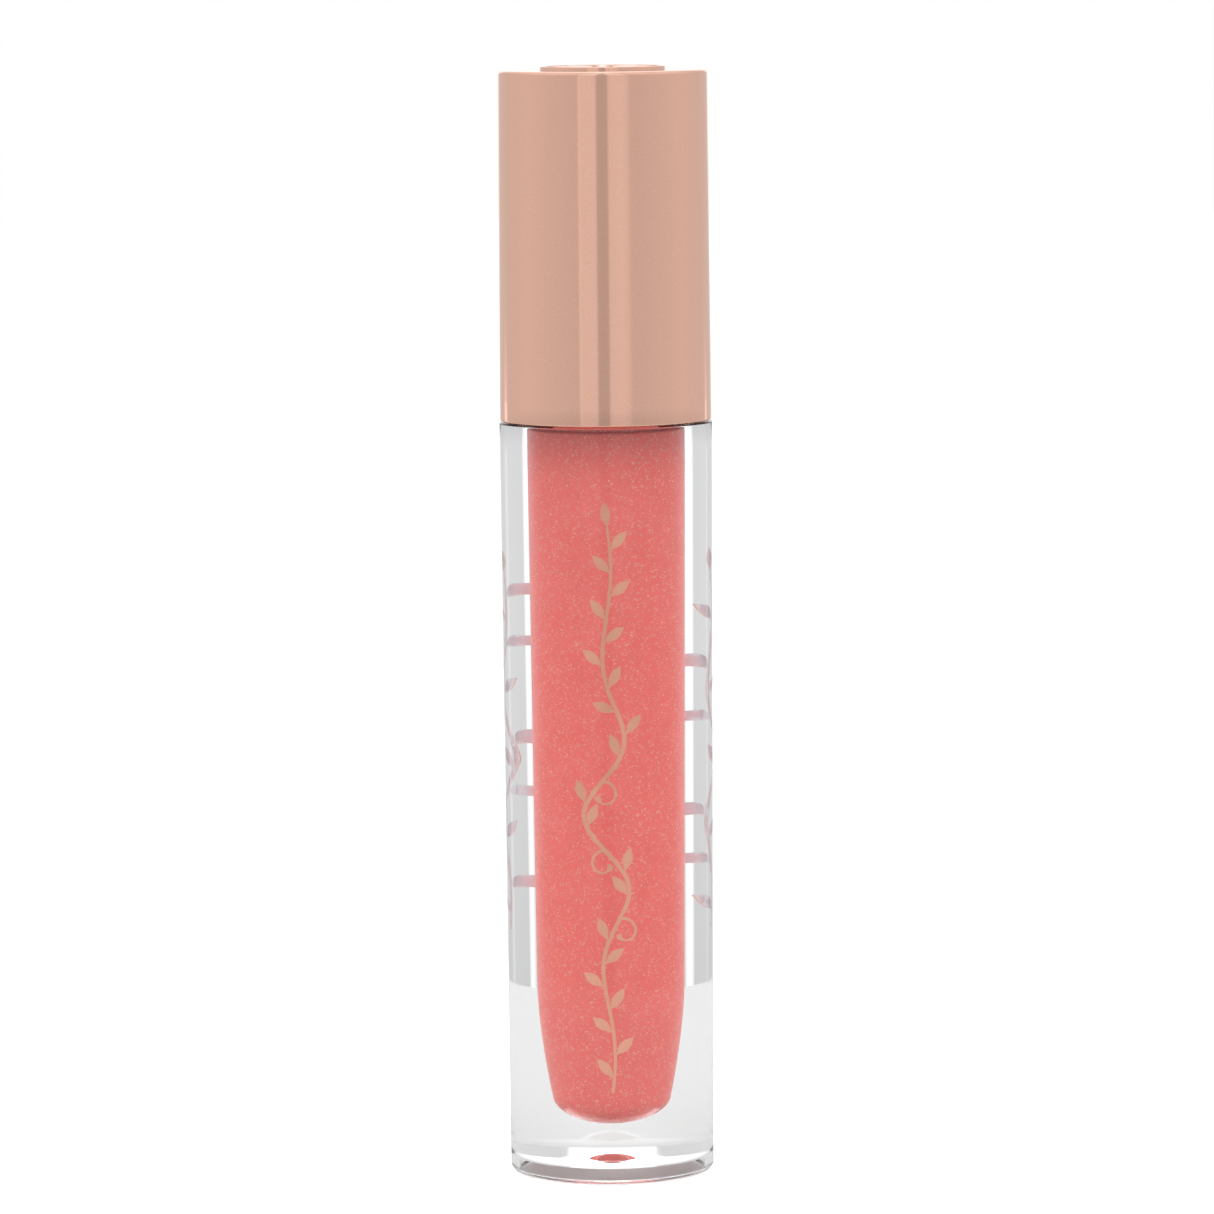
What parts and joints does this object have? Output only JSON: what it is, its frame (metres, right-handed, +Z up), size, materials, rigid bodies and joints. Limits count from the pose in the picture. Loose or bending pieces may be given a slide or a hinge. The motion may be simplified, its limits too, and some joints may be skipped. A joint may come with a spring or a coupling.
{
  "type": "lip gloss tube",
  "caption": "Slim round thick-walled clear tube of coral lip gloss with a wiper in its neck and a screw-on rose-gold cap that carries a flocked doe-foot applicator.",
  "frame": {"origin": "centre of the plane that the tube's foot ring stands on", "axes": "+Z up along the tube's axis towards the cap, -Y towards the side with the front foil ornament"},
  "size_m": [0.02, 0.02, 0.1037],
  "materials": {
    "clear_petg": "polished clear copolyester, thick walled",
    "coral_gloss": "viscous coral lip gloss with fine pearl shimmer",
    "wiper_ldpe": "soft natural low-density polyethylene",
    "gold_foil": "hot-stamped rose gold foil",
    "rose_gold_abs": "ABS, vacuum metallised in rose gold under clear lacquer",
    "white_pp": "natural white polypropylene, as moulded",
    "liner_pe": "white foamed polyethylene liner",
    "stem_pp": "smooth white polypropylene",
    "core_elastomer": "soft polyester elastomer",
    "nylon_flock": "short nylon flock wetted with gloss"
  },
  "bodies": {
    "tube": {"vial": "clear_petg", "wiper": "wiper_ldpe", "gloss_fill": "coral_gloss", "front_foil_sprig": "gold_foil", "back_foil_sprig": "gold_foil"},
    "seal": {"seal_washer": "liner_pe"},
    "cap": {"overcap": "rose_gold_abs", "threaded_insert": "white_pp", "applicator_stem": "stem_pp", "applicator_core": "core_elastomer", "flocked_tip": "nylon_flock"}
  },
  "joints": [
    {"name": "cap_lift", "type": "slide", "parent": "tube", "child": "seal", "axis": [0, 0, 1], "range_m": [0, 0.0841]},
    {"name": "cap_turn", "type": "hinge", "parent": "seal", "child": "cap", "pos_m": [0, 0, 0.0706], "axis": [0, 0, 1], "range_deg": [0, 5040]}
  ],
  "couplings": [
    {"joint": "cap_lift", "follows": "cap_turn", "m_per_rad": 0.00095493}
  ]
}
